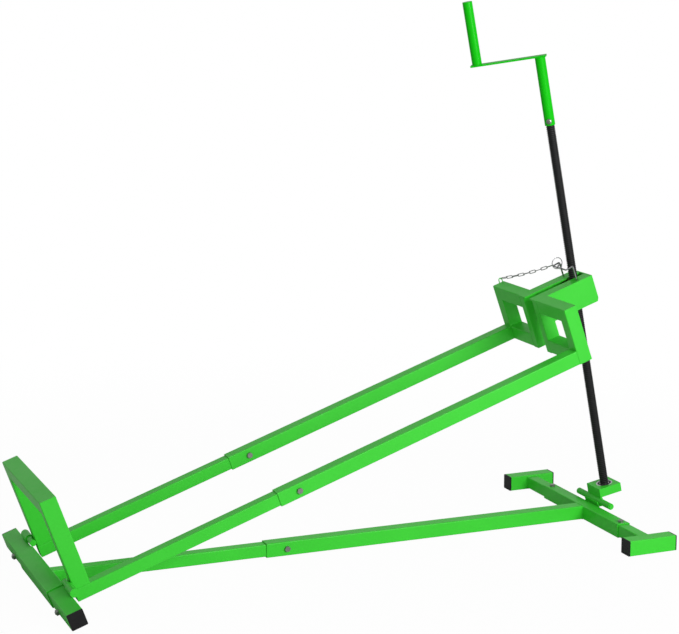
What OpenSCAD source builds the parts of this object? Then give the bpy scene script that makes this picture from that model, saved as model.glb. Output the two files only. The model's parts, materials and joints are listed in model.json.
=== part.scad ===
// Screw-driven lift jack for a ride-on mower: a ground frame, two lifting arms
// with wheel cradles, and a hand-cranked spindle that pulls the arms up.
// +X points to the spindle end, +Z is up. The origin is on the ground, under
// the middle of the overall box.

/* [Tubes] */
// Outer size of the large square tube
tube = 35; // [32:0.5:40]
// Wall of the large and small square tubes
tube_wall = 2.2; // [1.5:0.1:3]
// Gap on each side between a tube and the tube that slides in it
slide_gap = 0.3; // [0.1:0.05:0.6]
// Outer size of the square foot tubes
foot = 38; // [34:0.5:44]
// Wall of the front sleeve that takes the foot tubes
sleeve_wall = 2; // [1.5:0.1:3]
// Outside corner radius of every square tube
corner_r = 2.5; // [1.5:0.1:4]
// Length of inner tube hidden in its outer tube
insert_len = 110; // [70:5:130]

/* [Ground frame] */
// From the rear sleeve's centre line to the arm hinge line
base_len = 1406.2; // [1350:0.1:1450]
// From the rear sleeve's centre line to the spine's joint
spine_joint = 879.3; // [700:0.1:1000]
// Length of the rear sleeve
rear_sleeve_len = 381.3; // [340:0.1:440]
// Outside width across the rear feet
rear_width = 660; // [600:1:740]
// Length of a rear foot with its caps
rear_foot_len = 132; // [100:1:180]
// Height of the rear sleeve's centre above the ground
rear_z = 19; // [19:0.1:21]
// Length of the front sleeve
front_sleeve_len = 300; // [260:1:302]
// Outside width across the front feet
front_width = 638; // [600:1:700]
// Thickness of a plastic cap's head
cap_head = 3; // [2:0.5:5]
// Depth of a plastic cap's plug
cap_plug = 14; // [8:1:20]

/* [Arm hinge] */
// Diameter of the hinge rods
rod_d = 15; // [12:0.5:16]
// Running clearance of the rod in its knuckle, on the radius
rod_fit = 0.08; // [0.03:0.01:0.1]
// Wall of the knuckle tubes
knuckle_wall = 2.5; // [1.5:0.1:3]
// Gap between an arm's outer face and the knuckle beside it
knuckle_gap = 0.9; // [0.5:0.1:4]
// Length of a knuckle
knuckle_len = 47; // [30:0.5:60]
// Gap between the front sleeve's end and the hinge rod's inner end
rod_gap = 2; // [1:0.5:6]

/* [Arms] */
// Angle of the arms above level, as they stand
arm_angle = 19.13; // [17:0.01:21]
// From the hinge line to the arm joint
arm_joint = 516.1; // [350:0.1:700]
// From the hinge line to the cradles' far face
arm_len = 1368; // [1340:0.1:1380]
// From the mid-plane to an arm's centre line
arm_y = 172.1; // [172:0.1:172.5]
// Height of the hinge line over the arm's lower face
arm_drop = 46.9; // [45:0.1:48]

/* [Stop frame] */
// Depth of the stop frame's tube along the arms
stop_depth = 39.5; // [30:0.5:45]
// Width of the stop frame's uprights
stop_w = 30; // [25:0.5:35]
// Top of the stop frame over the arm's lower face
stop_top = 252; // [180:1:320]
// Height of the stop frame's cross tube
stop_bar_h = 36; // [30:0.5:45]

/* [Wheel cradles] */
// Height of a cradle, square to the arm
cradle_h = 143.5; // [130:0.5:160]
// From the mid-plane to a cradle's inner edge
cradle_in = 22; // [20:0.5:26]
// Width of a cradle's inner upright
inner_w = 24; // [20:0.5:26]

/* [Spindle head] */
// Sheet thickness of the head channel
sheet = 4; // [3:0.5:5]
// Depth of the head channel, square to the arm
channel_h = 69.5; // [60:0.5:75]
// How far the channel reaches past the arms' ends
channel_len = 130.5; // [127:0.5:152]
// Width of the spindle slot in the channel's top
slot_w = 24; // [23.5:0.5:30]
// Height of the bevel on the channel's lower far corner
channel_bevel = 9; // [4:0.5:15]
// From the arms' ends to the lifting nut's axis
nut_out = 98.1; // [96:0.1:101]
// Diameter of the lifting nut's round body
nut_d = 36; // [34:0.5:38]
// Length of the lifting nut across the jack
nut_len = 56; // [48:1:60]
// Gap between the nut's top and the channel
nut_gap = 0.4; // [0.3:0.05:0.8]
// Play of the spindle in the nut, on the radius
nut_play = 0.85; // [0.8:0.05:1]

/* [Spindle] */
// Diameter over the spindle's thread
spindle_d = 22; // [20:0.5:23]
// From the pivot bar to the crank socket's lower end
socket_start = 978.6; // [960:0.1:1060]
// How far the spindle reaches into the crank socket
socket_grip = 45; // [30:1:80]
// Distance from the pivot bar to the spindle's axis
spindle_offset = 33.2; // [33.2:0.1:33.4]

/* [Crank] */
// Length of the crank socket
socket_len = 168.9; // [120:0.1:220]
// Distance between the socket's and the handle's axes
crank_throw = 154.5; // [120:0.1:220]
// How far the crank is turned from the mid-plane, as it stands
crank_rest = 33.6; // [0:0.1:360]
// Width of the flat crank arm
crank_w = 24; // [20:0.5:40]
// Thickness of the flat crank arm
crank_t = 4; // [3:0.5:8]
// How far the crank arm runs past each axis
crank_past = 16; // [13:0.5:22]
// Outer diameter of the handle
handle_d = 24; // [20:0.5:28]
// Length of the handle
handle_len = 155; // [100:1:180]
// Wall of the socket and handle tubes
crank_wall = 1.75; // [1.5:0.05:3]
// Diameter of the screw through socket and spindle
cross_d = 8; // [4:0.5:8]
// From the socket's lower end to that screw
cross_up = 10.5; // [8:0.5:30]

/* [Rear pivot] */
// From the rear sleeve's centre line back to the pivot bar
pivot_x = 27.1; // [27:0.1:28]
// Height of the pivot bar's axis
pivot_z = 46.7; // [46.7:0.1:48]
// Outer diameter of the pivot bar's tube
pivot_d = 16; // [14:0.5:16]
// Length of the pivot bar's tube
pivot_len = 163; // [120:1:200]
// Diameter of the pin in the pivot tube
pin_d = 12; // [9:0.5:12]
// How far the pin stands out of each end of the tube
pin_out = 3; // [1:0.5:6]
// Wall of the half-round saddle that holds the bar
saddle_wall = 4; // [3:0.5:4.5]
// Running clearance of the bar in its saddle, on the radius
pivot_fit = 0.08; // [0.03:0.01:0.1]
// Thickness of the upright plate under the saddle
lug_t = 5; // [4:0.5:5.5]
// Width of the bearing block and of the saddle
block_w = 65; // [60:1:80]
// Length of the bearing block
block_len = 62.6; // [62:0.1:66]
// Height of the bearing block
block_h = 22.4; // [22:0.1:26]
// From the pivot bar's axis up to the block's lower face
block_rise = 11.4; // [10:0.1:12]
// Thickness of the plate between block and bar
hinge_plate_t = 5; // [4:0.5:6]
// Outer diameter of the spindle bearing
bearing_d = 42; // [40:1:46]
// Width of the spindle bearing
bearing_h = 12; // [10:0.5:13]
// Bore of the spindle bearing
bearing_bore = 17; // [15:1:18]

/* [Fasteners] */
// Thread diameter of the tube bolts
bolt_d = 8; // [6:1:10]
// Width across flats of the tube bolts and nuts
bolt_af = 13; // [10:1:14]
// Distance of each bolt from its tube joint
bolt_in = 52; // [25:1:60]
// From the mid-plane to the front foot bolts
front_bolt_y = 214; // [200:0.5:225]
// How far the front foot bolts sit below the tube's middle
front_bolt_drop = 8; // [0:0.5:9]
// How far the rear locking screws sit inside the sleeve ends
rear_bolt_in = 14; // [10:0.5:25]

/* [Safety clip] */
// Diameter of the clip's wire
wire_d = 4.2; // [3:0.1:5]
// From the mid-plane to a clip leg
leg_y = 34.2; // [34:0.1:35]
// From the arms' ends to the clip's legs
leg_out = 92.5; // [90:0.5:95]
// Height of the clip's shoulders over the cradle's top
clip_rise = 38; // [28:0.5:45]
// How far the clip reaches forward in front of the spindle
clip_reach = 20; // [18:0.5:26]
// Drop of the clip's shoulders from the legs to the bow
clip_drop = 1.8; // [0:0.1:4]
// Radius of the coil in the clip's bow
coil_r = 5.5; // [4:0.1:8]
// Advance of that coil in one turn
coil_pitch = 5; // [4.8:0.1:7]
// How deep the legs reach below the channel's top
leg_depth = 24; // [12:1:30]
// Radius of the split ring
ring_r = 14; // [11:0.5:16]
// Wire of the split ring
ring_wire = 2; // [1.5:0.1:2.5]
// Wire of the chain's links
link_wire = 2; // [1.5:0.1:2.4]
// Outer width of a link
link_w = 8; // [7.5:0.1:11]
// Number of links in the chain
link_count = 9; // [7:1:11]
// Drop of the chain below a straight line
chain_sag = 2; // [0:0.5:12]
// Radius of the chain's eyelet
eyelet_r = 4.5; // [4:0.1:6]
// Wire of the chain's eyelet
eyelet_wire = 2.4; // [2:0.1:3]
// Height of that eyelet's bend over the cradle
eyelet_rise = 6; // [5:0.5:10]
// Length of the eyelet's legs
eyelet_leg = 18; // [12:0.5:24]

/* [Hidden] */
$fn = 48;

// Tube sizes that follow from the large tube
tube_in = tube - 2*(tube_wall + slide_gap);
front_tube = foot + 2*(slide_gap + sleeve_wall);

// Arms' frame: u along the arm from the hinge line, v square to it
arm_c = cos(arm_angle);
arm_s = sin(arm_angle);
arm_low = -arm_drop;
arm_top = arm_low + tube;
cradle_top = arm_low + cradle_h;
cradle_u = arm_len - tube;
stop_base = arm_low + tube/2 + tube_in/2;
channel_end = arm_len + channel_len;
nut_u = arm_len + nut_out;
leg_u = arm_len + leg_out;
arm_start = rod_d/2;
knuckle_r = rod_d/2 + rod_fit + knuckle_wall;
knuckle_in = arm_y + tube/2 + knuckle_gap;
rod_in = front_sleeve_len/2 + rod_gap;
socket_d = spindle_d + 2*crank_wall;

// The knuckles sit on the rounded upper corner of the front tubes, which lie
// square to the arms and rest on the sleeve's lower edge
weld_gap = 0.05;
front_u = -(knuckle_r + corner_r + weld_gap)*cos(45) - foot/2 + corner_r;
front_v = front_u;
front_z = front_tube/2*(arm_c + arm_s) - corner_r*(arm_c + arm_s - 1);
front_x = -base_len + front_u*arm_c - front_v*arm_s;
hinge_z = front_z - front_u*arm_s - front_v*arm_c;

// The spine points from the rear sleeve's centre line to the front one's
spine_tilt = atan2(front_z - rear_z, -front_x);

// Lifting nut, under the channel's top sheet
nut_v = cradle_top - sheet - nut_gap - nut_d/2;
nut_x = -base_len + nut_u*arm_c - nut_v*arm_s;
nut_z = hinge_z + nut_u*arm_s + nut_v*arm_c;

// The spindle passes the pivot bar at its offset and points at the nut
nut_dist = norm([nut_x - pivot_x, nut_z - pivot_z]);
lean = atan2(pivot_x - nut_x, nut_z - pivot_z) + asin(spindle_offset/nut_dist);

// Overall box, measured from the rear sleeve, and its middle
block_top = block_rise + block_h;
x_max = pivot_x + block_len*cos(lean) - block_rise*sin(lean);
stop_high = arm_low + stop_top;
x_min = -base_len + arm_start*arm_c - stop_high*arm_s + (arm_c + arm_s - 1)*corner_r;
x_mid = (x_min + x_max)/2;

// Fastener sizes that follow from the thread
head_h = 0.66*bolt_d;
nut_h = 0.8*bolt_d;
hole_d = bolt_d + 0.4;

module at_base() translate([-x_mid, 0, 0]) children();

module at_arms()
    at_base()
    translate([-base_len, 0, hinge_z])
    rotate([0, -arm_angle, 0])
    children();

// The spindle's frame starts on the pivot bar, with z along the spindle
module at_pivot()
    at_base()
    translate([pivot_x, 0, pivot_z])
    rotate([0, -lean, 0])
    children();

module at_spindle() at_pivot() translate([spindle_offset, 0, 0]) children();

module far() mirror([0, 1, 0]) children();

module green() color([0.22, 0.78, 0.2]) children();
module steel() color([0.62, 0.63, 0.65]) children();
module black() color([0.1, 0.1, 0.11]) children();

// Outline of a square tube, w by h
module profile(w, h, r = corner_r) {
    square([w - 2*r, h], center = true);
    square([w, h - 2*r], center = true);
    for (x = [-1, 1], y = [-1, 1])
        translate([x*(w/2 - r), y*(h/2 - r)]) circle(r, $fn = 24);
}

module hollow(w, h, wall) {
    difference() {
        profile(w, h);
        square([w - 2*wall, h - 2*wall], center = true);
    }
}

// Square tubes along x, y and z, centred on the axis that they run along
module tube_x(from, to, w, h, wall)
    translate([from, 0, 0]) rotate([90, 0, 90]) linear_extrude(to - from) hollow(w, h, wall);

module tube_y(from, to, w, h, wall)
    translate([0, to, 0]) rotate([90, 0, 0]) linear_extrude(to - from) hollow(w, h, wall);

module tube_z(from, to, w, h, wall)
    translate([0, 0, from]) linear_extrude(to - from) hollow(w, h, wall);

// Prisms on each side of the 45 degree line through an outer top corner. The
// line falls towards +y; "under" is the side of the upright.
module mitre_under(size) rotate([90, 0, 90]) linear_extrude(3*size, center = true)
    polygon([[-2*size, 2*size], [2*size, -2*size], [-2*size, -2*size]]);

module mitre_over(size) rotate([90, 0, 90]) linear_extrude(3*size, center = true)
    polygon([[-2*size, 2*size], [2*size, -2*size], [2*size, 2*size]]);

module hex(af, h) cylinder(h = h, d = af/cos(30), $fn = 6);

// Bolt whose head sits on z = 0 and whose shank runs down
module bolt(d, len, af, head) {
    hex(af, head);
    translate([0, 0, -len]) cylinder(h = len, d = d);
}

module nut(d, af, h) {
    difference() {
        hex(af, h);
        translate([0, 0, -1]) cylinder(h = h + 2, d = d);
    }
}

// Ring of wire round the z axis
module wire_ring(r, wire) rotate_extrude() translate([r, 0]) circle(d = wire, $fn = 20);

// Plastic cap in the end of a foot tube, its head outward along z
module cap(size, wall) {
    linear_extrude(cap_head) profile(size, size);
    translate([0, 0, -cap_plug])
        linear_extrude(cap_plug) square(size - 2*wall - 0.2, center = true);
}

// Front cross tubes, square to the arms

module in_front() at_arms() translate([front_u, 0, front_v]) children();

module front_sleeve() green() in_front()
    tube_y(-front_sleeve_len/2, front_sleeve_len/2, front_tube, front_tube, sleeve_wall);

module front_foot() {
    difference() {
        in_front()
            tube_y(-front_width/2 + cap_head, -front_sleeve_len/2 + insert_len,
                foot, foot, tube_wall);
        in_front() translate([0, -front_bolt_y, -front_bolt_drop]) rotate([0, 90, 0])
            cylinder(h = 2*foot, d = hole_d, center = true);
    }
}

module front_foot_near() green() front_foot();
module front_foot_far() green() far() front_foot();

module knuckle() at_arms() translate([0, -knuckle_in, 0]) rotate([90, 0, 0]) difference() {
    cylinder(h = knuckle_len, r = knuckle_r);
    translate([0, 0, -1]) cylinder(h = knuckle_len + 2, r = rod_d/2 + rod_fit);
}

module front_knuckle_near() green() knuckle();
module front_knuckle_far() green() far() knuckle();

module front_cap() in_front() translate([0, -front_width/2 + cap_head, 0])
    rotate([90, 0, 0]) cap(foot, tube_wall);

module front_caps() black() {
    front_cap();
    far() front_cap();
}

// Bolt through a front foot tube, its nut on the outer face
module front_bolt() in_front() translate([0, -front_bolt_y, -front_bolt_drop]) {
    translate([foot/2, 0, 0]) rotate([0, 90, 0]) bolt(bolt_d, foot + nut_h + 2, bolt_af, head_h);
    translate([-foot/2, 0, 0]) rotate([0, -90, 0]) nut(bolt_d, bolt_af, nut_h);
}

module front_bolts() steel() {
    front_bolt();
    far() front_bolt();
}

// Spine, along the mid-plane

module in_spine() at_base() translate([0, 0, rear_z]) rotate([0, spine_tilt, 0]) children();

module spine_hole() translate([-spine_joint + bolt_in, 0, 0]) rotate([90, 0, 0])
    cylinder(h = 2*tube, d = hole_d, center = true);

module spine_inner() green() difference() {
    in_spine() difference() {
        tube_x(-base_len - 3, -spine_joint + insert_len, tube_in, tube_in, tube_wall);
        spine_hole();
    }
    in_front() rotate([90, 0, 0])
        linear_extrude(2*tube, center = true) profile(front_tube, front_tube);
}

module spine_outer() green() difference() {
    in_spine() difference() {
        tube_x(-spine_joint, -tube/2 + 1, tube, tube, tube_wall);
        spine_hole();
    }
    at_base() translate([-tube/2, -tube, 0]) cube([tube, 2*tube, 2*tube]);
}

module spine_bolt() steel() in_spine()
    translate([-spine_joint + bolt_in, -tube/2, 0]) rotate([90, 0, 0])
    bolt(bolt_d, tube + nut_h + 3, bolt_af, head_h);

module spine_nut() steel() in_spine()
    translate([-spine_joint + bolt_in, tube/2 + nut_h, 0]) rotate([90, 0, 0])
    nut(bolt_d, bolt_af, nut_h);

// Rear cross tubes and feet

rear_y = rear_width/2 - foot;
screw_x = tube/4;
screw_y = rear_sleeve_len/2 - rear_bolt_in;

module rear_sleeve() green() at_base() difference() {
    translate([0, 0, rear_z])
        tube_y(-rear_sleeve_len/2, rear_sleeve_len/2, tube, tube, tube_wall);
    for (y = [-screw_y, screw_y])
        translate([0, y, rear_z]) cylinder(h = tube, d = hole_d);
}

module rear_inner() at_base() translate([0, 0, rear_z])
    tube_y(-rear_y, -rear_sleeve_len/2 + insert_len, tube_in, tube_in, tube_wall);

module rear_inner_near() green() rear_inner();
module rear_inner_far() green() far() rear_inner();

module rear_foot() at_base() translate([0, -rear_y - foot/2, foot/2])
    tube_x(-rear_foot_len/2 + cap_head, rear_foot_len/2 - cap_head, foot, foot, tube_wall);

module rear_foot_near() green() rear_foot();
module rear_foot_far() green() far() rear_foot();

module rear_cap_pair() at_base() translate([0, -rear_y - foot/2, foot/2])
    for (s = [-1, 1]) translate([s*(rear_foot_len/2 - cap_head), 0, 0])
        rotate([0, s*90, 0]) cap(foot, tube_wall);

module rear_caps() black() {
    rear_cap_pair();
    far() rear_cap_pair();
}

// Locking screws through the sleeve's top, pressed on the inner tubes
module rear_screws() steel() at_base()
    for (y = [-screw_y, screw_y]) translate([0, y, rear_z + tube/2])
        bolt(bolt_d, tube_wall + slide_gap, bolt_af, head_h);

// Half-round saddle on a plate behind the rear sleeve
module saddle_lug() green() at_base() {
    saddle_r = pivot_d/2 + pivot_fit;
    translate([0, block_w/2, 0]) rotate([90, 0, 0]) linear_extrude(block_w) difference() {
        union() {
            difference() {
                translate([pivot_x, pivot_z]) circle(saddle_r + saddle_wall);
                translate([pivot_x - pivot_d, pivot_z]) square(2*pivot_d);
                translate([pivot_x - pivot_d, 0]) square([tube/2 - pivot_x + pivot_d, rear_z + tube/2]);
            }
            translate([tube/2, rear_z - tube/2 + corner_r])
                square([lug_t, pivot_z - saddle_r - rear_z + tube/2 - corner_r]);
        }
        translate([pivot_x, pivot_z]) circle(saddle_r);
    }
}

// Lifting arms

module arm_axis(y) at_arms() translate([0, y, arm_low + tube/2]) children();

module arm_hole() translate([arm_joint + bolt_in, 0, 0]) rotate([90, 0, 0])
    cylinder(h = 2*tube, d = hole_d, center = true);

module arm_inner(y) arm_axis(y) difference() {
    tube_x(arm_start, arm_joint + insert_len, tube_in, tube_in, tube_wall);
    arm_hole();
}

module arm_inner_near() green() arm_inner(-arm_y);
module arm_inner_far() green() arm_inner(arm_y);

module arm_outer(y) arm_axis(y) difference() {
    tube_x(arm_joint, arm_len - tube, tube, tube, tube_wall);
    arm_hole();
}

module arm_outer_near() green() arm_outer(-arm_y);
module arm_outer_far() green() arm_outer(arm_y);

module arm_bolts() steel() for (y = [-arm_y, arm_y])
    arm_axis(y) translate([arm_joint + bolt_in, -tube/2, 0]) rotate([90, 0, 0])
    bolt(bolt_d, tube + nut_h + 3, bolt_af, head_h);

module arm_nuts() steel() for (y = [-arm_y, arm_y])
    arm_axis(y) translate([arm_joint + bolt_in, tube/2 + nut_h, 0]) rotate([90, 0, 0])
    nut(bolt_d, bolt_af, nut_h);

module hinge_rod() at_arms() translate([0, -rod_in, 0]) rotate([90, 0, 0])
    cylinder(h = knuckle_in + knuckle_len - rod_in, d = rod_d);

module hinge_rod_near() green() hinge_rod();
module hinge_rod_far() green() far() hinge_rod();

// Stop frame that stands on the arms, mitred at its top corners

stop_u = arm_start + stop_depth/2;
stop_y = arm_y + stop_w/2;

module in_stop() at_arms() translate([stop_u, 0, 0]) children();

module stop_upright() in_stop() difference() {
    translate([0, -arm_y, 0]) tube_z(stop_base, stop_high, stop_depth, stop_w, tube_wall);
    translate([0, -stop_y, stop_high]) mitre_over(stop_depth);
}

module stop_upright_near() green() stop_upright();
module stop_upright_far() green() far() stop_upright();

module stop_bar() green() in_stop() difference() {
    translate([0, 0, stop_high - stop_bar_h/2])
        tube_y(-stop_y, stop_y, stop_depth, stop_bar_h, tube_wall);
    translate([0, -stop_y, stop_high]) mitre_under(stop_depth);
    far() translate([0, -stop_y, stop_high]) mitre_under(stop_depth);
}

// Wheel cradles, four tubes each, mitred at the outer top corner

module in_cradle() at_arms() translate([arm_len - tube/2, 0, 0]) children();

cradle_edge = arm_y + tube/2;
inner_edge = cradle_in + inner_w;

module cradle_outer() in_cradle() difference() {
    translate([0, -arm_y, 0]) tube_z(arm_low, cradle_top, tube, tube, tube_wall);
    translate([0, -cradle_edge, cradle_top]) mitre_over(tube);
}

module cradle_outer_near() green() cradle_outer();
module cradle_outer_far() green() far() cradle_outer();

module cradle_top_rail() in_cradle() difference() {
    translate([0, 0, cradle_top - tube/2])
        tube_y(-cradle_edge, -inner_edge, tube, tube, tube_wall);
    translate([0, -cradle_edge, cradle_top]) mitre_under(tube);
}

module cradle_top_near() green() cradle_top_rail();
module cradle_top_far() green() far() cradle_top_rail();

module cradle_bottom_rail() in_cradle() translate([0, 0, arm_low + tube/2])
    tube_y(-arm_y + tube/2, -inner_edge, tube, tube, tube_wall);

module cradle_bottom_near() green() cradle_bottom_rail();
module cradle_bottom_far() green() far() cradle_bottom_rail();

module cradle_inner() in_cradle() translate([0, -inner_edge + inner_w/2, 0])
    tube_z(arm_low, cradle_top - sheet, tube, inner_w, tube_wall);

module cradle_inner_near() green() cradle_inner();
module cradle_inner_far() green() far() cradle_inner();

// Head channel: two walls, a slotted top and a closed far end

channel_w = 2*inner_edge;
channel_low = cradle_top - channel_h;

module head_channel() green() at_arms() difference() {
    union() {
        translate([arm_len, -channel_w/2, channel_low])
            cube([channel_end - arm_len, channel_w, channel_h]);
        translate([cradle_u, -channel_w/2, cradle_top - sheet])
            cube([tube, channel_w, sheet]);
    }
    translate([arm_len - 1, sheet - channel_w/2, channel_low - 1])
        cube([channel_end - arm_len - sheet + 1, channel_w - 2*sheet, channel_h - sheet + 1]);
    translate([cradle_u - 1, -slot_w/2, channel_low])
        cube([channel_end - sheet - cradle_u + 1, slot_w, channel_h + 1]);
    translate([channel_end, channel_w, channel_low]) rotate([90, 0, 0])
        linear_extrude(2*channel_w)
        polygon([[1, -1], [-sheet, -1], [-sheet, 0], [0, channel_bevel], [1, channel_bevel]]);
    for (y = [-leg_y, leg_y])
        translate([leg_u, y, cradle_top - 2*sheet]) cylinder(h = 3*sheet, d = wire_d + 0.9);
}

// Lifting nut, a round bar across the channel that rolls as the spindle leans
module lifting_nut() steel() difference() {
    at_arms() translate([nut_u, 0, nut_v]) rotate([90, 0, 0])
        cylinder(h = nut_len, d = nut_d, center = true);
    at_spindle() cylinder(h = socket_start, d = spindle_d + 2*nut_play);
}

// Rear pivot: the block's tube turns in the saddle

module pivot_tube() green() at_pivot() rotate([90, 0, 0]) difference() {
    cylinder(h = pivot_len, d = pivot_d, center = true);
    cylinder(h = pivot_len + 2, d = pin_d, center = true);
}

module pivot_pin() green() at_pivot() rotate([90, 0, 0])
    cylinder(h = pivot_len + 2*pin_out, d = pin_d, center = true);

seat_z = block_top - bearing_h;

module bearing_block() green() at_pivot() difference() {
    union() {
        translate([0, -block_w/2, block_rise]) cube([block_len, block_w, block_h]);
        translate([0, -block_w/2, 0]) cube([hinge_plate_t, block_w, block_rise + 1]);
    }
    rotate([90, 0, 0]) cylinder(h = 2*block_w, d = pivot_d, center = true);
    translate([-pivot_d, -block_w, -pivot_d/2]) cube([2*pivot_d, 2*block_w, pivot_d/2]);
    translate([spindle_offset, 0, seat_z]) cylinder(h = block_h, d = bearing_d);
    translate([spindle_offset, 0, 0]) cylinder(h = block_h + block_rise, d = bearing_d - 6);
}

// Bearing rings; the seal closes the gap between them

race_t = (bearing_d - bearing_bore)/2*0.28;

module bearing_outer() steel() at_spindle() translate([0, 0, seat_z]) difference() {
    cylinder(h = bearing_h, d = bearing_d);
    translate([0, 0, -1]) cylinder(h = bearing_h + 2, d = bearing_d - 2*race_t);
}

module bearing_inner() steel() at_spindle() translate([0, 0, seat_z]) difference() {
    cylinder(h = bearing_h, d = bearing_bore + 2*race_t);
    translate([0, 0, -1]) cylinder(h = bearing_h + 2, d = bearing_bore);
}

module bearing_seal() black() at_spindle() translate([0, 0, seat_z + 0.5]) difference() {
    cylinder(h = bearing_h - 1, d = bearing_d - 2*race_t);
    translate([0, 0, -1]) cylinder(h = bearing_h, d = bearing_bore + 2*race_t + 0.8);
}

// Spindle, with a shoulder on the bearing and a nut under it

washer_t = 2;
stub_nut_h = 7;
stub_low = seat_z - washer_t - stub_nut_h;

module in_crank() at_spindle() rotate([0, 0, -crank_rest]) children();

module cross_hole() in_crank() translate([0, 0, socket_start + cross_up]) rotate([90, 0, 0])
    cylinder(h = 2*socket_d, d = cross_d + 0.2, center = true);

module spindle() black() difference() {
    at_spindle() {
        translate([0, 0, block_top])
            cylinder(h = socket_start + socket_grip - block_top, d = spindle_d);
        translate([0, 0, stub_low]) cylinder(h = block_top - stub_low, d = bearing_bore);
    }
    cross_hole();
}

module spindle_washer() steel() at_spindle() translate([0, 0, seat_z - washer_t]) difference() {
    cylinder(h = washer_t, d = bearing_bore + 9);
    translate([0, 0, -1]) cylinder(h = washer_t + 2, d = bearing_bore);
}

module spindle_nut() steel() at_spindle() translate([0, 0, stub_low])
    nut(bearing_bore, 1.5*bearing_bore, stub_nut_h);

// Crank

module crank_socket() green() difference() {
    at_spindle() translate([0, 0, socket_start]) difference() {
        cylinder(h = socket_len, d = socket_d);
        translate([0, 0, -1]) cylinder(h = socket_len + 2, d = spindle_d);
    }
    cross_hole();
}

socket_top = socket_start + socket_len;

module crank_arm() green() in_crank() translate([0, 0, socket_top])
    translate([-crank_throw - crank_past, -crank_w/2, 0])
    cube([crank_throw + 2*crank_past, crank_w, crank_t]);

module crank_handle() green() in_crank()
    translate([-crank_throw, 0, socket_top + crank_t]) difference() {
        cylinder(h = handle_len, d = handle_d);
        translate([0, 0, -crank_wall]) cylinder(h = handle_len, d = handle_d - 2*crank_wall);
    }

// Bolt through socket and spindle, with its nut on the far side
module crank_screw() steel() in_crank() translate([0, 0, socket_start + cross_up]) {
    seat = socket_d/2 + 0.02;
    translate([0, -seat, 0]) rotate([90, 0, 0]) bolt(cross_d, 2*seat, 1.6*cross_d, 0.6*cross_d);
    translate([0, seat, 0]) rotate([-90, 0, 0]) hex(1.6*cross_d, 0.8*cross_d);
}

// Safety clip: one bent wire. Its legs stand in the channel's top on both sides
// of the spindle, and its bow with a coil closes the slot in front of it.

module at_clip() at_arms() translate([leg_u, 0, cradle_top]) children();

bow_v = clip_rise - clip_drop;
coil_y = 1.5*coil_pitch;

clip_corners = concat(
    [[0, -leg_y, -leg_depth], [0, -leg_y, clip_rise], [-clip_reach, -leg_y, bow_v],
        [-clip_reach, -coil_y - coil_pitch/2, bow_v]],
    [for (a = [0:45:360]) [-clip_reach - coil_r*sin(a), -coil_y + coil_pitch*a/360,
        bow_v + coil_r*(1 - cos(a))]],
    [[-clip_reach, -coil_y + 1.5*coil_pitch, bow_v], [-clip_reach, leg_y, bow_v],
        [0, leg_y, clip_rise], [0, leg_y, -leg_depth]]
);

function unit(v) = v/norm(v);

// Each corner of a path cut back to a short curve of four points
function eased(p, cut) = concat(
    [p[0]],
    [for (i = [1:len(p) - 2])
        let (a = p[i] + min(cut, norm(p[i - 1] - p[i])/2.1)*unit(p[i - 1] - p[i]),
            b = p[i] + min(cut, norm(p[i + 1] - p[i])/2.1)*unit(p[i + 1] - p[i]))
        for (f = [0:1/3:1]) (1 - f)*(1 - f)*a + 2*f*(1 - f)*p[i] + f*f*b],
    [p[len(p) - 1]]
);

function path_dir(p, i, closed) = closed
    ? unit(p[(i + 1)%len(p)] - p[(i + len(p) - 1)%len(p)])
    : unit(p[min(i + 1, len(p) - 1)] - p[max(i - 1, 0)]);
function square_to(a, d) = unit(a - (a*d)*d);

// Round wire along a path, as rings of points joined by triangles
module sweep(p, d, n, start, closed = false) {
    count = len(p);
    side = [for (i = 0, a = square_to(start, path_dir(p, 0, closed)); i < count;
        i = i + 1, a = square_to(a, path_dir(p, min(i, count - 1), closed))) a];
    points = [for (i = [0:count - 1])
        let (a = side[i], b = cross(path_dir(p, i, closed), a))
        for (k = [0:n - 1]) p[i] + d/2*(cos(360*k/n)*a + sin(360*k/n)*b)];
    walls = [for (i = [0:count - (closed ? 1 : 2)], k = [0:n - 1])
        let (a = i*n + k, b = i*n + (k + 1)%n, c = (i + 1)%count*n + k,
            e = (i + 1)%count*n + (k + 1)%n)
        each [[a, c, e], [a, e, b]]];
    ends = closed ? [] :
        [[for (k = [0:n - 1]) k], [for (k = [n - 1:-1:0]) (count - 1)*n + k]];
    polyhedron(points, concat(walls, ends));
}

module safety_clip() steel() at_clip() sweep(eased(clip_corners, 4), wire_d, 10, [1, 0.3, 0]);

// The split ring stands upright on its lower side, round the bow beside the coil
ring_lift = ring_r - (wire_d + ring_wire)/2 - 0.4;
ring_y = (spindle_d + ring_wire)/2 + 0.4;
ring_mid = [
    leg_u - clip_reach + ring_lift*arm_s, ring_y, cradle_top + bow_v + ring_lift*arm_c
];

module split_ring() steel() at_arms() translate(ring_mid)
    rotate([90, 0, 0]) wire_ring(ring_r, ring_wire);

// Chain from the split ring to an eyelet on the far cradle

link_r = (link_w - link_wire)/2;
link_gap = 0.5;
ring_hook = ring_mid + ring_r*[cos(182), 0, sin(182)];
eyelet_mid = [arm_len - tube/4, cradle_edge + eyelet_wire/2, cradle_top + eyelet_rise];
eyelet_aim = unit([ring_hook.x - eyelet_mid.x, 0, ring_hook.z - eyelet_mid.z]);
eyelet_hook = eyelet_mid + eyelet_r*eyelet_aim;
chain_dir = unit(eyelet_hook - ring_hook);
chain_span = norm(eyelet_hook - ring_hook);

// The first link stops beside the ring, which leaves with the clip; the last one
// hangs in the eyelet
chain_start = (ring_wire + link_wire)/2 + link_gap;
chain_end = chain_span + (eyelet_wire + link_wire)/2 + link_gap;
link_pitch = (chain_end - chain_start - link_gap - link_wire)/link_count;
link_half = (link_pitch + link_gap + link_wire)/2;
sag_dir = square_to([-arm_s, 0, -arm_c], chain_dir);

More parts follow.
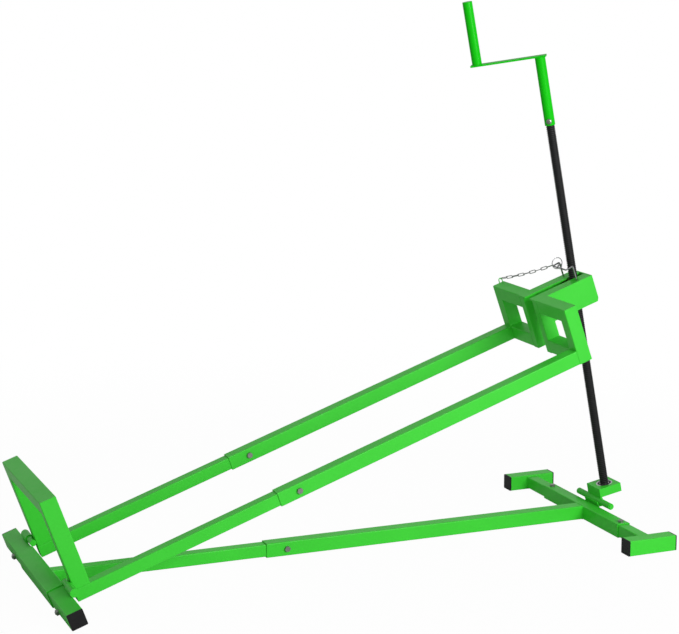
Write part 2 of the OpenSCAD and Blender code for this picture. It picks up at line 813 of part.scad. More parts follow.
// Middle of link i, on a line that sags
function link_f(i) = (chain_start + link_half + i*link_pitch)/chain_span;
function link_mid(i) = ring_hook + link_f(i)*chain_span*chain_dir
    + 4*chain_sag*link_f(i)*(1 - link_f(i))*sag_dir;
function link_dir(i) = unit(chain_dir + 4*chain_sag*(1 - 2*link_f(i))/chain_span*sag_dir);

// The chain twists so that its last link lies square to the eyelet's wire
flat_side = square_to([0, 0, 1], chain_dir);
eyelet_side = [-eyelet_aim.z, 0, eyelet_aim.x];
chain_twist = atan2(cross(flat_side, eyelet_side)*chain_dir, flat_side*eyelet_side);

module half_ring(r, wire)
    rotate_extrude(angle = 180) translate([r, 0]) circle(d = wire, $fn = 20);

link_path = [for (end = [0, 1], a = [-90:30:90])
    let (turn = a + 180*end)
    [(1 - 2*end)*(link_half - link_r) + link_r*cos(turn), link_r*sin(turn), 0]];

module link() sweep(link_path, link_wire, 8, [0, 0, 1], closed = true);

module safety_chain() steel() at_arms() for (i = [0:link_count - 1])
    translate(link_mid(i))
    rotate([chain_twist*i/(link_count - 1) + 90*(i%2), -asin(link_dir(i).z),
        atan2(link_dir(i).y, link_dir(i).x)])
    link();

// Bent wire, its legs welded to the outside of the far cradle
module chain_eyelet() green() at_arms() translate(eyelet_mid) {
    rotate([90, 0, 0]) half_ring(eyelet_r, eyelet_wire);
    for (u = [-eyelet_r, eyelet_r]) translate([u, 0, -eyelet_leg])
        cylinder(h = eyelet_leg, d = eyelet_wire, $fn = 20);
}

front_sleeve();
front_foot_near();
front_foot_far();
front_knuckle_near();
front_knuckle_far();
front_caps();
front_bolts();
spine_inner();
spine_outer();
spine_bolt();
spine_nut();
rear_sleeve();
rear_inner_near();
rear_inner_far();
rear_foot_near();
rear_foot_far();
rear_caps();
rear_screws();
saddle_lug();
arm_inner_near();
arm_inner_far();
arm_outer_near();
arm_outer_far();
arm_bolts();
arm_nuts();
hinge_rod_near();
hinge_rod_far();
stop_upright_near();
stop_upright_far();
stop_bar();
cradle_outer_near();
cradle_outer_far();
cradle_top_near();
cradle_top_far();
cradle_bottom_near();
cradle_bottom_far();
cradle_inner_near();
cradle_inner_far();
head_channel();
chain_eyelet();
safety_chain();
lifting_nut();
pivot_tube();
pivot_pin();
bearing_block();
bearing_outer();
bearing_seal();
spindle();
bearing_inner();
spindle_washer();
spindle_nut();
crank_socket();
crank_arm();
crank_handle();
crank_screw();
safety_clip();
split_ring();
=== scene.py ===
import json
import math

import bmesh
import bpy
from mathutils import Matrix, Vector


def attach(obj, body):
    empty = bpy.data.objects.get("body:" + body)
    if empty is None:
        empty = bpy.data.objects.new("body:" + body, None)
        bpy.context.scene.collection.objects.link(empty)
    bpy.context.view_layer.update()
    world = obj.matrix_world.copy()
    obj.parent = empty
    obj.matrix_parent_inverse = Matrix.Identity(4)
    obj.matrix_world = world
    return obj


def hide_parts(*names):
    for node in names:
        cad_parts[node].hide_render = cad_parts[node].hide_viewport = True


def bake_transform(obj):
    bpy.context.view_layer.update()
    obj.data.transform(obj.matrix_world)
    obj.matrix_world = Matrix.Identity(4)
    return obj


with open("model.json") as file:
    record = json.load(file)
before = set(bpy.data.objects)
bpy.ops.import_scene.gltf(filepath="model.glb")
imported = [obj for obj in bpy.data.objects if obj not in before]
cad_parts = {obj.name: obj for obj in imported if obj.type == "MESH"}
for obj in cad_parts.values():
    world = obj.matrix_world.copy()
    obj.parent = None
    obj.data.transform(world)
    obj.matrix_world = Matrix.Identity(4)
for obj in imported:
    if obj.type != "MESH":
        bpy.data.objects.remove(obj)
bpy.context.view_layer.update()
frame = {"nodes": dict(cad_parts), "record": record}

# Ground frame, arms, cradles, head channel and crank: welded steel tube and
# plate under one coat of bright green powder. The coat is glossy, with the
# fine orange peel of baked powder, and a shade duller where it lies thin.


class Socket:
    """An output of a node. Python's operators on it add Math nodes."""

    def __init__(self, net, output):
        self.net = net
        self.output = output

    def other(self, output):
        """Another output of the same node, by its name or number."""
        return Socket(self.net, self.output.node.outputs[output])

    def maths(self, operation, first, second):
        return self.net.add("ShaderNodeMath", {"operation": operation}, {0: first, 1: second})

    def __add__(self, other):
        return self.maths("ADD", self, other)

    def __radd__(self, other):
        return self.maths("ADD", other, self)

    def __sub__(self, other):
        return self.maths("SUBTRACT", self, other)

    def __rsub__(self, other):
        return self.maths("SUBTRACT", other, self)

    def __neg__(self):
        return self.maths("SUBTRACT", 0.0, self)

    def __mul__(self, other):
        return self.maths("MULTIPLY", self, other)

    def __rmul__(self, other):
        return self.maths("MULTIPLY", other, self)

    def __truediv__(self, other):
        return self.maths("DIVIDE", self, other)

    def __mod__(self, other):
        return self.maths("FLOORED_MODULO", self, other)

    def __gt__(self, other):
        return self.maths("GREATER_THAN", self, other)

    def __lt__(self, other):
        return self.maths("LESS_THAN", self, other)


class Net:
    """A node tree that grows one node at a time."""

    def __init__(self, tree):
        self.tree = tree

    def add(self, kind, settings=None, inputs=None, output=0):
        """A new node with its settings, its inputs by name or number, and one output."""
        node = self.tree.nodes.new(kind)
        for name, value in (settings or {}).items():
            setattr(node, name, value)
        for name, value in (inputs or {}).items():
            for one in value if isinstance(value, list) else [value]:
                if isinstance(one, Socket):
                    self.tree.links.new(one.output, node.inputs[name])
                else:
                    node.inputs[name].default_value = one
        return Socket(self, node.outputs[output])

    def noise(self, place, scale, detail):
        """Soft noise from 0 to 1, with the given number of grains a metre."""
        sizes = {"Vector": place, "Scale": scale, "Detail": detail}
        return self.add("ShaderNodeTexNoise", {"noise_dimensions": "3D"}, sizes)

    def between(self, share, first, second):
        """A colour that goes from the first to the second as the share grows."""
        colours = {0: share, 6: (*first, 1.0), 7: (*second, 1.0)}
        return self.add("ShaderNodeMix", {"data_type": "RGBA"}, colours, 2)

    def raised(self, geometry, height, turn=(0.0, 0.0, 0.0)):
        """A mesh moved up by a height, and turned where it stands."""
        lift = self.add("ShaderNodeCombineXYZ", {}, {"Z": height})
        inputs = {"Geometry": geometry, "Translation": lift, "Rotation": turn}
        return self.add("GeometryNodeTransform", {}, inputs)


def new_finish(name, shader):
    """A material with only a Principled shader, whose fixed values are given."""
    material = bpy.data.materials.new(name)
    material.use_nodes = True
    material.node_tree.nodes.clear()
    net = Net(material.node_tree)
    surface = net.add("ShaderNodeBsdfPrincipled", {}, shader)
    output = net.tree.nodes.new("ShaderNodeOutputMaterial")
    net.tree.links.new(surface.output, output.inputs["Surface"])
    return material, net, surface.output.node


def feed(net, shader, **values):
    """Joins worked-out values to the shader's sockets, by name with _ for a space."""
    for name, value in values.items():
        net.tree.links.new(value.output, shader.inputs[name.replace("_", " ")])


def bumped(net, height, distance):
    """A bent normal from a height between 0 and 1, which stands for that distance."""
    return net.add("ShaderNodeBump", {}, {"Height": height, "Distance": distance})


def paint(slot, material, start=""):
    """Gives a finish to the CAD nodes of one slot whose names have that start."""
    for part in frame["record"]["subparts"]:
        if part["material_slot"] == slot and part["node"].startswith(start):
            for place in frame["nodes"][part["node"]].material_slots:
                place.material = material


def powder_coat(name, thin, thick, level):
    """Green powder coat: its shade where it lies thin and thick, and its gloss."""
    coat, net, shader = new_finish(
        name, {"IOR": 1.45, "Specular IOR Level": level, "Coat Roughness": 0.15}
    )
    place = net.add("ShaderNodeTexCoord", output="Object")
    cloud = net.noise(place, 9.0, 3.0)
    peel = net.noise(place, 330.0, 1.5)
    grain = net.noise(place, 1900.0, 1.0)
    feed(
        net,
        shader,
        Base_Color=net.between(cloud, thin, thick),
        Roughness=0.33 + 0.14 * net.noise(place, 42.0, 2.0),
        Coat_Weight=0.04 + 0.12 * cloud,
        Normal=bumped(net, peel + 0.25 * grain, 0.00008),
    )
    return coat


# The crank's coat is from another batch, deeper in its green and less glossy.
green = powder_coat("green_powder_coat", (0.040, 0.60, 0.030), (0.050, 0.68, 0.038), 0.28)
crank_green = powder_coat("crank_powder_coat", (0.003, 0.54, 0.002), (0.007, 0.62, 0.005), 0.10)
paint("green_paint", green)
paint("green_paint", crank_green, "crank")

# End caps of the foot tubes: black moulded plastic with a fine spark-eroded
# grain, pressed into the open ends.

plastic, net, shader = new_finish(
    "black_moulded_plastic", {"IOR": 1.46, "Specular IOR Level": 0.22}
)
place = net.add("ShaderNodeTexCoord", output="Object")
grain = net.noise(place, 2400.0, 2.0)
scuff = net.noise(place, 70.0, 4.0)
feed(
    net,
    shader,
    Base_Color=net.between(scuff, (0.006, 0.006, 0.007), (0.012, 0.012, 0.013)),
    Roughness=0.42 + 0.16 * scuff,
    Normal=bumped(net, grain, 0.00005),
)
paint("black_plastic", plastic)

# Bolts, nuts and screws: zinc-plated steel, faintly mottled and here and
# there a little yellow from the passivation.

zinc, net, shader = new_finish("zinc_plate", {"Metallic": 1.0})
place = net.add("ShaderNodeTexCoord", output="Object")
mottle = net.noise(place, 260.0, 4.0)
feed(
    net,
    shader,
    Base_Color=net.between(mottle, (0.20, 0.215, 0.21), (0.34, 0.345, 0.31)),
    Roughness=0.24 + 0.22 * net.noise(place, 700.0, 3.0),
    Normal=bumped(net, net.noise(place, 1500.0, 2.0), 0.00003),
)
paint("zinc", zinc)

# Bearing rings, washer and nut under the spindle: ground steel with the fine
# lines of grinding round the axis, and a matt black rubber seal between the
# rings.

steel, net, shader = new_finish("ground_steel", {"Metallic": 1.0})
place = net.add("ShaderNodeTexCoord", output="Object")
lines = net.noise(
    net.add("ShaderNodeMapping", {}, {"Vector": place, "Scale": (160.0, 160.0, 2600.0)}), 1.0, 3.0
)
feed(
    net,
    shader,
    Base_Color=net.between(lines, (0.50, 0.50, 0.52), (0.66, 0.66, 0.67)),
    Roughness=0.20 + 0.18 * lines,
    Normal=bumped(net, lines, 0.00002),
)
paint("bearing_steel", steel)

rubber, net, shader = new_finish("seal_rubber", {"IOR": 1.5})
place = net.add("ShaderNodeTexCoord", output="Object")
dust = net.noise(place, 380.0, 4.0)
feed(
    net,
    shader,
    Base_Color=net.between(dust, (0.014, 0.014, 0.014), (0.028, 0.027, 0.026)),
    Roughness=0.62 + 0.2 * dust,
    Normal=bumped(net, dust, 0.00006),
)
paint("seal_rubber", rubber)

# Lifting nut: a turned brass bar across the channel. The tool's fine rings
# run round its own axis, and it has dulled a little.

brass, net, shader = new_finish("turned_brass", {"Metallic": 1.0})
place = net.add("ShaderNodeTexCoord", output="Object")
rings = net.noise(
    net.add("ShaderNodeMapping", {}, {"Vector": place, "Scale": (30.0, 1900.0, 30.0)}), 1.0, 2.0
)
dull = net.noise(place, 90.0, 4.0)
feed(
    net,
    shader,
    Base_Color=net.between(dull, (0.66, 0.47, 0.20), (0.47, 0.33, 0.14)),
    Roughness=0.22 + 0.3 * dull,
    Normal=bumped(net, rings, 0.00004),
)
paint("brass_nut", brass)

# Spindle: a 22 mm bar with a rolled trapezoidal thread of 5 mm pitch, black
# oxide and a film of oil. Its plain stub runs through the bearing.

rear_x = 0.689575
lean = math.radians(10.6953)
pivot = Vector((rear_x + 0.0271, 0.0, 0.0467))
axis_behind_pivot = 0.0332
axis_foot = pivot + axis_behind_pivot * Vector((math.cos(lean), 0.0, math.sin(lean)))
upright = Matrix.Translation(axis_foot) @ Matrix.Rotation(-lean, 4, "Y")


def grow(tree, values, name, place):
    """Runs a Geometry Nodes tree and keeps a plain mesh, with its faces outwards."""
    seed = bpy.data.objects.new(name + "_seed", bpy.data.meshes.new(name + "_seed"))
    bpy.context.scene.collection.objects.link(seed)
    modifier = seed.modifiers.new("make", "NODES")
    modifier.node_group = tree
    for item in tree.interface.items_tree:
        if item.in_out == "INPUT" and item.name in values:
            modifier[item.identifier] = values[item.name]
    bpy.context.view_layer.update()
    mesh = bpy.data.meshes.new_from_object(
        seed.evaluated_get(bpy.context.evaluated_depsgraph_get())
    )
    bpy.data.objects.remove(seed)
    mesh.transform(place)
    shell = bmesh.new()
    shell.from_mesh(mesh)
    bmesh.ops.recalc_face_normals(shell, faces=shell.faces)
    shell.to_mesh(mesh)
    shell.free()
    piece = bpy.data.objects.new(name, mesh)
    bpy.context.scene.collection.objects.link(piece)
    return piece


def new_tree(name, **inputs):
    """An empty Geometry Nodes tree, its net, and its named inputs as sockets."""
    tree = bpy.data.node_groups.new(name, "GeometryNodeTree")
    for label, kind in inputs.items():
        tree.interface.new_socket(label, in_out="INPUT", socket_type="NodeSocket" + kind)
    tree.interface.new_socket("Mesh", in_out="OUTPUT", socket_type="NodeSocketGeometry")
    net = Net(tree)
    start = tree.nodes.new("NodeGroupInput")
    return tree, net, {label: Socket(net, start.outputs[label]) for label in inputs}


def close_tree(net, geometry, material, smooth=True):
    """The end of every tree: real geometry, its shading and its material."""
    real = net.add("GeometryNodeRealizeInstances", {}, {"Geometry": geometry})
    shaded = net.add("GeometryNodeSetShadeSmooth", {}, {"Geometry": real, "Shade Smooth": smooth})
    done = net.add("GeometryNodeSetMaterial", {}, {"Geometry": shaded, "Material": material})
    net.tree.links.new(done.output, net.tree.nodes.new("NodeGroupOutput").inputs["Mesh"])


# Painted shade: the thread's root is painted blacker than the crest, as shade in its hollow, and a
# random film of oil mottles both.
oxide, net, shader = new_finish("black_oxide", {"IOR": 1.45, "Specular IOR Level": 0.3})
place = net.add("ShaderNodeTexCoord", output="Object")
oil = net.noise(place, 55.0, 3.0)
outwards = net.add(
    "ShaderNodeVectorMath",
    {"operation": "CROSS_PRODUCT"},
    {
        0: net.add(
            "ShaderNodeVectorMath", {"operation": "SUBTRACT"}, {0: place, 1: tuple(axis_foot)}
        ),
        1: (-math.sin(lean), 0.0, math.cos(lean)),
    },
)
from_axis = net.add("ShaderNodeVectorMath", {"operation": "LENGTH"}, {0: outwards}, "Value")
# Painted shade by the distance from the axis, from 0 at the root to 1 at the crest. The same share
# makes the worn crest smoother.
crest_wear_and_root_shade = net.add(
    "ShaderNodeMapRange",
    {"interpolation_type": "SMOOTHSTEP"},
    {"Value": from_axis, "From Min": 0.0100, "From Max": 0.01085, "To Min": 0.0, "To Max": 1.0},
)
shaded_oily_root, worn_crest = (0.0015, 0.0015, 0.0015), (0.024, 0.024, 0.026)
feed(
    net,
    shader,
    Base_Color=net.between(crest_wear_and_root_shade * (0.7 + 0.5 * oil), shaded_oily_root, worn_crest),
    Roughness=0.50 - 0.16 * crest_wear_and_root_shade + 0.12 * oil,
    Normal=bumped(net, net.noise(place, 900.0, 3.0), 0.00003),
)

# The thread is a strip of four rows a turn, wound up the bar from Low to High.
# Two rows lie on the crest and two at the root. Every second row is moved up by
# about half a row, which makes crest and root wide and the flanks steep. The
# strip starts one and a half turns too low and ends too high, and what lies past
# Low and High is laid flat there at the root. Its first two rows make the plain
# stub, which starts at Foot and ends in a shoulder at Low.
facets, row_shift, early_turns, merge_distance = 36, 0.48, 1.5, 0.00003
sizes = {"Pitch": 0.005, "Crest": 0.01097, "Root": 0.0092, "Stub": 0.0085}
sizes.update({"Foot": 0.0128, "Low": 0.0338, "High": 1.0236})
turns = math.ceil((sizes["High"] - sizes["Low"]) / sizes["Pitch"]) + int(2 * early_turns)
tree, net, value = new_tree(
    "wound_thread",
    Pitch="Float",
    Crest="Float",
    Root="Float",
    Stub="Float",
    Foot="Float",
    Low="Float",
    High="Float",
)
grid = net.add(
    "GeometryNodeMeshGrid",
    {},
    {"Size X": 1.0, "Size Y": 1.0, "Vertices X": 4 * turns + 1, "Vertices Y": facets + 1},
)
spot = net.add("GeometryNodeInputPosition")
across = net.add("ShaderNodeSeparateXYZ", {}, {0: spot}, 0)
along = across.other(1)
row = net.add("ShaderNodeMath", {"operation": "ROUND"}, {0: (across + 0.5) * (4.0 * turns)})
step = net.add("ShaderNodeMath", {"operation": "ROUND"}, {0: (along + 0.5) * float(facets)})
quarter = (row + 0.25) % 4.0 - 0.25
odd = (row + 0.25) % 2.0 > 1.0
height = value["Low"] + value["Pitch"] * (
    (row + row_shift * odd) / 4.0 + step / float(facets) - early_turns
)
inside = (height > value["Low"]) * (height < value["High"])
crest = (quarter < 1.5) * inside
radius = value["Root"] + (value["Crest"] - value["Root"]) * crest
radius = radius - (row < 1.5) * (value["Root"] - value["Stub"])
turn = step * (2.0 * math.pi / facets)
kept = net.add(
    "ShaderNodeClamp", {}, {"Value": height, "Min": value["Low"], "Max": value["High"]}
)
where = net.add(
    "ShaderNodeCombineXYZ",
    {},
    {
        "X": radius * net.add("ShaderNodeMath", {"operation": "COSINE"}, {0: turn}),
        "Y": radius * net.add("ShaderNodeMath", {"operation": "SINE"}, {0: turn}),
        "Z": kept - (row < 0.5) * (value["Low"] - value["Foot"]),
    },
)
strip = net.add("GeometryNodeSetPosition", {}, {"Geometry": grid, "Position": where})
lids = []
for end, girth in (("Foot", "Stub"), ("High", "Root")):
    lid = net.add(
        "GeometryNodeMeshCircle",
        {"fill_type": "NGON"},
        {"Vertices": facets, "Radius": value[girth]},
    )
    lids.append(net.raised(lid, value[end]))
whole = net.add("GeometryNodeJoinGeometry", {}, {"Geometry": [strip] + lids})
merging = {"Geometry": whole, "Distance": merge_distance}
closed = net.add("GeometryNodeMergeByDistance", {}, merging)
close_tree(net, closed, oxide, smooth=False)
thread = grow(tree, sizes, "spindle_thread", upright)
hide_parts("spindle")
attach(thread, "spindle")

# Crank screw: zinc-plated, with a domed head and a cross recess. Its shank goes
# through socket and spindle, and its hexagon nut sits on the far side.

tree, net, value = new_tree(
    "cross_screw",
    Seat="Float",
    Shank="Float",
    Head="Float",
    Rise="Float",
    Nut="Float",
    Flats="Float",
)
round_sides, shank_sides = 64, 32


def bar(start, end, radius, sides):
    """A round or many-sided bar between two heights on the screw's axis."""
    inputs = {"Vertices": sides, "Radius": radius, "Depth": end - start}
    return net.raised(net.add("GeometryNodeMeshCylinder", {}, inputs), (start + end) / 2.0)


def ball(middle, radius):
    """A fine ball on the screw's axis, which rounds off a head or a nut."""
    inputs = {"Segments": round_sides, "Rings": round_sides, "Radius": radius}
    return net.raised(net.add("GeometryNodeMeshUVSphere", {}, inputs), middle)


def combined(operation, first, others):
    """Closed meshes made into one by their difference, union or overlap."""
    inputs = {"Mesh 2": [first] + others}
    if operation == "DIFFERENCE":
        inputs = {"Mesh 1": first, "Mesh 2": others}
    return net.add("GeometryNodeMeshBoolean", {"operation": operation, "solver": "EXACT"}, inputs)


# The head is a round bar cut by a large ball. Two blocks, centred on its top,
# take out the cross, which is as deep as half the head.
seat = value["Seat"]
dome_radius = value["Head"] * 1.6
top = seat + value["Rise"]
dome = ball(top - dome_radius, dome_radius)
head = combined("INTERSECT", bar(seat, top, value["Head"], round_sides), [dome])
cross_turn = (0.0, 0.0, math.radians(25.0))
slots = []
for long, wide in ((1.2, 0.30), (0.30, 1.2)):
    sides = {"X": value["Head"] * long, "Y": value["Head"] * wide, "Z": value["Rise"]}
    sides = net.add("ShaderNodeCombineXYZ", {}, sides)
    slots.append(net.raised(net.add("GeometryNodeMeshCube", {}, {"Size": sides}), top, cross_turn))
head = combined("DIFFERENCE", head, slots)

# The nut's corners are rounded by a ball too. Its hole is open for 0.8 mm, and
# the shank's end stands in it, 0.2 mm below the nut's face.
nut_end = seat + value["Nut"]
hole_gap, hole_depth, shank_depth = 0.0007, 0.0008, 0.0002
hexagon = bar(-nut_end, -seat, value["Flats"] / math.cos(math.radians(30.0)), 6)
rounding = ball(-((nut_end + seat) / 2.0), value["Flats"] * 1.16)
hole = bar(-nut_end - 0.001, hole_depth - nut_end, value["Shank"] + hole_gap, shank_sides)
nut = combined("DIFFERENCE", combined("INTERSECT", hexagon, [rounding]), [hole])
shank = bar(shank_depth - nut_end, seat + value["Rise"] * 0.2, value["Shank"], shank_sides)
merging = {"Geometry": combined("UNION", head, [nut, shank]), "Distance": merge_distance}
close_tree(net, net.add("GeometryNodeMergeByDistance", {}, merging), zinc, smooth=False)

# The crank stands turned by its rest angle, and the screw lies across it.
crank_rest = math.radians(-33.6)
screw_height = 0.9891
across_crank = Matrix.Rotation(crank_rest, 4, "Z") @ Matrix.Translation((0.0, 0.0, screw_height))
across_crank = across_crank @ Matrix.Rotation(math.pi / 2, 4, "X")
sizes = {"Seat": 0.01277, "Shank": 0.004, "Head": 0.0066, "Rise": 0.0048}
sizes.update({"Nut": 0.0064, "Flats": 0.0064})
screw = grow(tree, sizes, "cross_screw", upright @ across_crank)
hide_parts("crank_screw")
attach(screw, "spindle")

# Safety clip, split ring and chain: nickel-plated spring wire, and zinc-plated
# chain wire in nine links, which hang in a slight bow from the ring to the
# eyelet on the far cradle.

wire, net, shader = new_finish("nickel_wire", {"Metallic": 1.0})
place = net.add("ShaderNodeTexCoord", output="Object")
bloom = net.noise(place, 180.0, 3.0)
feed(
    net,
    shader,
    Base_Color=net.between(bloom, (0.11, 0.11, 0.12), (0.52, 0.52, 0.53)),
    Roughness=0.10 + 0.14 * bloom,
    Normal=bumped(net, net.noise(place, 1200.0, 2.0), 0.00002),
)
paint("bright_wire", wire)

chain_zinc, net, shader = new_finish("chain_zinc", {"Metallic": 1.0})
place = net.add("ShaderNodeTexCoord", output="Object")
bloom = net.noise(place, 500.0, 3.0)
feed(
    net,
    shader,
    Base_Color=net.between(bloom, (0.24, 0.24, 0.25), (0.38, 0.38, 0.39)),
    Roughness=0.26 + 0.2 * bloom,
    Normal=bumped(net, net.noise(place, 1400.0, 2.0), 0.00002),
)

arm_slope = math.radians(19.13)
hinge = Vector((rear_x - 1.4062, 0.0, 0.0587832))


def on_arms(u, y, v):
    """A point given in millimetres along, across and square to the arms."""
    out = Vector((u * math.cos(arm_slope) - v * math.sin(arm_slope), y, 0.0))
    out.z = u * math.sin(arm_slope) + v * math.cos(arm_slope)
    return hinge + out / 1000.0


# The outer links go round the ring's wire and the eyelet's. The middles of the
# nine links lie on a shallow bow between the two.
ring_side = on_arms(1429.95, 12.4, 142.232)
eyelet_bend = on_arms(1363.18, 190.8, 104.8)
link_count = 9
ring_wire, link_wire, eyelet_wire = 0.0020, 0.0020, 0.0024
link_width, slack, sag = 0.008, 0.0001, 0.003
loop_points, wire_sides = 20, 10
reach = (eyelet_bend - ring_side).length
whole_chain = reach + (ring_wire + eyelet_wire) / 2 + link_wire + 2 * slack
link_step = (whole_chain - link_wire - slack) / link_count
link_length = link_step + link_wire + slack
straight = (eyelet_bend - ring_side) / reach
down = Vector((0.0, 0.0, -1.0))
down = (down - straight * down.dot(straight)).normalized()
first_middle = ring_side + straight * (link_length / 2 - (ring_wire + link_wire) / 2 - slack)
last_middle = first_middle + straight * link_step * (link_count - 1)

tree, net, value = new_tree(
    "chain_links",
    Links="Int",
    First="Vector",
    Last="Vector",
    Sag="Vector",
    Wire="Float",
    Width="Float",
    Length="Float",
)
bend = (value["Width"] - value["Wire"]) / 2.0
loop = net.add("GeometryNodeCurvePrimitiveCircle", {}, {"Resolution": loop_points, "Radius": bend})
at = net.add("GeometryNodeInputPosition")
side_to_side = net.add("ShaderNodeSeparateXYZ", {}, {0: at}, 0)
end_to_end = side_to_side.other(1)
half_run = value["Length"] / 2.0 - bend
way = net.add("ShaderNodeMath", {"operation": "SIGN"}, {0: end_to_end})
stadium = net.add(
    "GeometryNodeSetPosition",
    {},
    {
        "Geometry": loop,
        "Position": net.add(
            "ShaderNodeCombineXYZ", {}, {"X": side_to_side, "Z": end_to_end + way * half_run}
        ),
    },
)
round_wire = net.add(
    "GeometryNodeCurvePrimitiveCircle",
    {},
    {"Resolution": wire_sides, "Radius": value["Wire"] / 2.0},
)
link = net.add("GeometryNodeCurveToMesh", {}, {"Curve": stadium, "Profile Curve": round_wire})
number = net.add("GeometryNodeInputIndex")
share = number / (value["Links"] - 1.0)
dip = net.add(
    "ShaderNodeVectorMath",
    {"operation": "SCALE"},
    {0: value["Sag"], "Scale": 4.0 * share * (1.0 - share)},
)
row_of_middles = net.add(
    "GeometryNodeMeshLine",
    {"mode": "END_POINTS"},
    {"Count": value["Links"], "Start Location": value["First"], "Offset": value["Last"]},
)
hung = net.add("GeometryNodeSetPosition", {}, {"Geometry": row_of_middles, "Offset": dip})
line = net.add("GeometryNodeMeshToCurve", {}, {"Mesh": hung})
upright_line = net.add("GeometryNodeSetCurveNormal", {"mode": "Z_UP"}, {"Curve": line})
middles = net.add("GeometryNodeCurveToPoints", {"mode": "EVALUATED"}, {"Curve": upright_line})
facing = middles.other("Rotation")
# Each link is turned by 90 degrees to the last, and the chain twists slowly
# from the ring's plane to the eyelet's.
slow_turn = math.radians(-27.3) / (link_count - 1)
link_turn = (number % 2.0) * (math.pi / 2.0) + number * slow_turn
spun = net.add(
    "FunctionNodeRotateRotation",
    {"rotation_space": "LOCAL"},
    {
        "Rotation": facing,
        "Rotate By": net.add(
            "FunctionNodeAxisAngleToRotation", {}, {"Axis": (0.0, 0.0, 1.0), "Angle": link_turn}
        ),
    },
)
links = net.add(
    "GeometryNodeInstanceOnPoints", {}, {"Points": middles, "Instance": link, "Rotation": spun}
)
close_tree(net, links, chain_zinc)
sizes = {
    "Links": link_count,
    "First": first_middle,
    "Last": last_middle,
    "Sag": down * sag,
    "Wire": link_wire,
    "Width": link_width,
    "Length": link_length,
}
chain = grow(tree, sizes, "chain_of_links", Matrix.Identity(4))
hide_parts("safety_chain")
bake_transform(chain)

# Weld beads round the joints of rear feet, spine, crank and pivot bar: fillets
# of steel that follow the tube's outline, ripple a little and are painted over.

bead_tree, net, value = new_tree(
    "weld_bead", Across="Float", Up="Float", Corner="Float", Thick="Float"
)
point_spacing, ripple_height, corner_points, bead_sides = 0.0016, 0.0006, 8, 8
rim = net.add(
    "GeometryNodeCurvePrimitiveQuadrilateral",
    {},
    {"Width": value["Across"], "Height": value["Up"]},
)
soft = net.add(
    "GeometryNodeFilletCurve",
    {"mode": "POLY"},
    {"Curve": rim, "Count": corner_points, "Radius": value["Corner"], "Limit Radius": True},
)
even = net.add(
    "GeometryNodeResampleCurve", {"mode": "LENGTH"}, {"Curve": soft, "Length": point_spacing}
)
section = net.add(
    "GeometryNodeCurvePrimitiveCircle",
    {},
    {"Resolution": bead_sides, "Radius": value["Thick"]},
)
bead = net.add("GeometryNodeCurveToMesh", {}, {"Curve": even, "Profile Curve": section})
ripple = net.noise(net.add("GeometryNodeInputPosition"), 420.0, 1.0) - 0.5
swell = net.add(
    "ShaderNodeVectorMath",
    {"operation": "SCALE"},
    {0: net.add("GeometryNodeInputNormal"), "Scale": ripple * ripple_height},
)
waved = net.add("GeometryNodeSetPosition", {}, {"Geometry": bead, "Offset": swell})
close_tree(net, waved, green)


def weld(name, body, place, outline, thick=0.0015, coat=green):
    """One bead round a joint, whose outline is its width, height and corner radius."""
    across, up, corner = outline
    sizes = {"Across": across, "Up": up, "Corner": corner, "Thick": thick}
    bead = grow(bead_tree, sizes, name, place)
    bead.data.materials[0] = coat
    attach(bead, body)


tube, inner_tube, foot_tube, corner = 0.035, 0.030, 0.038, 0.0025
tube_z = foot_tube / 2
foot_side = 0.330 - foot_tube
for side, name in ((-1, "rear_foot_weld_near"), (1, "rear_foot_weld_far")):
    joint = Matrix.Translation((rear_x, side * foot_side, tube_z))
    joint = joint @ Matrix.Rotation(math.pi / 2, 4, "X")
    weld(name, "base", joint, (inner_tube, inner_tube, corner))
joint = Matrix.Translation((rear_x - tube / 2, 0.0, tube_z))
joint = joint @ Matrix.Rotation(math.pi / 2, 4, "Y")
weld("spine_weld", "base", joint, (tube, tube, corner), 0.0011)

# The crank's arm lies on the socket's top, and the handle stands on the arm.
socket_tube, handle_tube, arm_thickness, crank_throw = 0.0255, 0.024, 0.004, 0.1545
arm_foot = upright @ Matrix.Translation((0.0, 0.0, 1.1475))
sizes = (socket_tube, socket_tube, socket_tube / 2)
weld("socket_weld", "spindle", arm_foot, sizes, coat=crank_green)
joint = arm_foot @ Matrix.Rotation(crank_rest, 4, "Z")
joint = joint @ Matrix.Translation((-crank_throw, 0.0, arm_thickness))
sizes = (handle_tube, handle_tube, handle_tube / 2)
weld("handle_weld", "spindle", joint, sizes, coat=crank_green)

# The pivot bar is welded along its top, under the bearing block.
joint = Matrix.Translation(pivot) @ Matrix.Rotation(-lean, 4, "Y")
joint = joint @ Matrix.Translation((0.0025, 0.0, 0.0071))
weld("pivot_weld", "carrier", joint, (0.005, 0.065, 0.001))

# The picture: a white sweep of paper, a wide soft lamp to the right of the
# camera, and the camera where the photograph was taken from.

# The camera sees the paper as plain white. Only near the jack a trace of its
# shadow comes through, which fades out with the distance.
white = (1.0, 1.0, 1.0, 1.0)
paper, net, shader = new_finish(
    "white_paper", {"Roughness": 0.9, "Base Color": (0.8, 0.8, 0.8, 1.0)}
)
seen = net.add("ShaderNodeLightPath", output="Is Camera Ray")
glow = net.add("ShaderNodeEmission", {}, {"Color": white, "Strength": 1.0})
spot = net.add("ShaderNodeTexCoord", output="Object")
from_jack = net.add("ShaderNodeVectorMath", {"operation": "LENGTH"}, {0: spot}, "Value")
whiteness = net.add(
    "ShaderNodeMapRange",
    {"interpolation_type": "SMOOTHSTEP"},
    {"Value": from_jack, "From Min": 0.9, "From Max": 2.6, "To Min": 0.975, "To Max": 1.0},
)
lit = Socket(net, shader.outputs[0])
mixed = net.add("ShaderNodeMixShader", {}, {0: seen * whiteness, 1: lit, 2: glow})
output = next(node for node in net.tree.nodes if node.type == "OUTPUT_MATERIAL")
net.tree.links.new(mixed.output, output.inputs["Surface"])

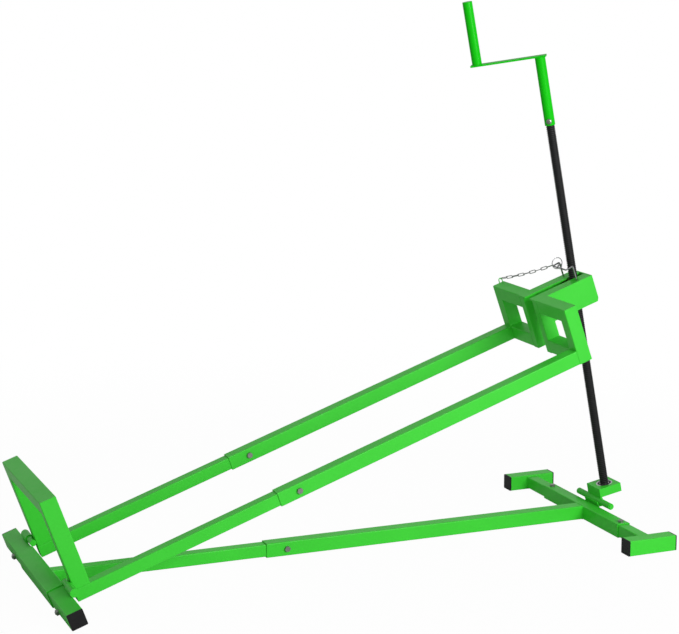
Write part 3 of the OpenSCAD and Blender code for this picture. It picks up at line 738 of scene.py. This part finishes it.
sheet = bpy.data.meshes.new("paper_floor")
half_side, just_below = 9.0, -0.0004
corners = [
    (x * half_side, y * half_side, just_below) for x, y in ((-1, -1), (1, -1), (1, 1), (-1, 1))
]
sheet.from_pydata(corners, [], [(0, 1, 2, 3)])
sheet.materials.append(paper)
floor = bpy.data.objects.new("paper_floor", sheet)
bpy.context.scene.collection.objects.link(floor)

# The room is white to the camera, about 0.6 of that in mirror-like surfaces, and
# a third of it as a light, so that the lamps can shape the tubes.
sky = bpy.data.worlds.new("white_room")
bpy.context.scene.world = sky
sky.use_nodes = True
sky.node_tree.nodes.clear()
net = Net(sky.node_tree)
to_camera = net.add("ShaderNodeLightPath", output="Is Camera Ray")
seen = to_camera + to_camera.other("Is Glossy Ray") * 0.42
plain = net.add("ShaderNodeBackground", {}, {"Color": white, "Strength": 0.32})
bright = net.add("ShaderNodeBackground", {}, {"Color": white, "Strength": 1.0})
both = net.add("ShaderNodeMixShader", {}, {0: seen, 1: plain, 2: bright})
net.tree.links.new(both.output, net.tree.nodes.new("ShaderNodeOutputWorld").inputs["Surface"])


def soft_lamp(name, place, aim, size, watts):
    """A wide lamp at one place, turned to another."""
    lamp = bpy.data.lights.new(name, "AREA")
    lamp.shape = "RECTANGLE"
    lamp.size, lamp.size_y = size
    lamp.energy = watts
    holder = bpy.data.objects.new(name, lamp)
    bpy.context.scene.collection.objects.link(holder)
    holder.location = place
    holder.rotation_euler = (Vector(aim) - Vector(place)).to_track_quat("-Z", "Y").to_euler()


soft_lamp("front_softbox", (1.3, -4.2, 1.9), (0.1, 0.0, 0.5), (2.6, 2.0), 150.0)
soft_lamp("top_softbox", (-0.4, 0.6, 3.6), (0.0, 0.0, 0.3), (2.4, 2.4), 4.0)

# The camera's place, its turn to the right and its look down follow from points
# of the photograph. The frame stands pitched on its feet, and the camera with it.
frame_pitch, turn_right, look_down = 0.00411, 0.3879, 0.1864
camera = bpy.data.objects.new("photo_camera", bpy.data.cameras.new("photo_camera"))
bpy.context.scene.collection.objects.link(camera)
camera.data.sensor_width = 36.0
camera.data.lens = 100.654
camera.data.clip_end = 60.0
aim = Matrix.Rotation(frame_pitch, 4, "Y") @ Matrix.Rotation(-turn_right, 4, "Z")
aim = aim @ Matrix.Rotation(math.pi / 2 - look_down, 4, "X")
camera.matrix_world = Matrix.Translation((-1.67399, -4.1237, 1.42374)) @ aim
bpy.context.scene.camera = camera
bpy.context.scene.view_settings.view_transform = "Standard"
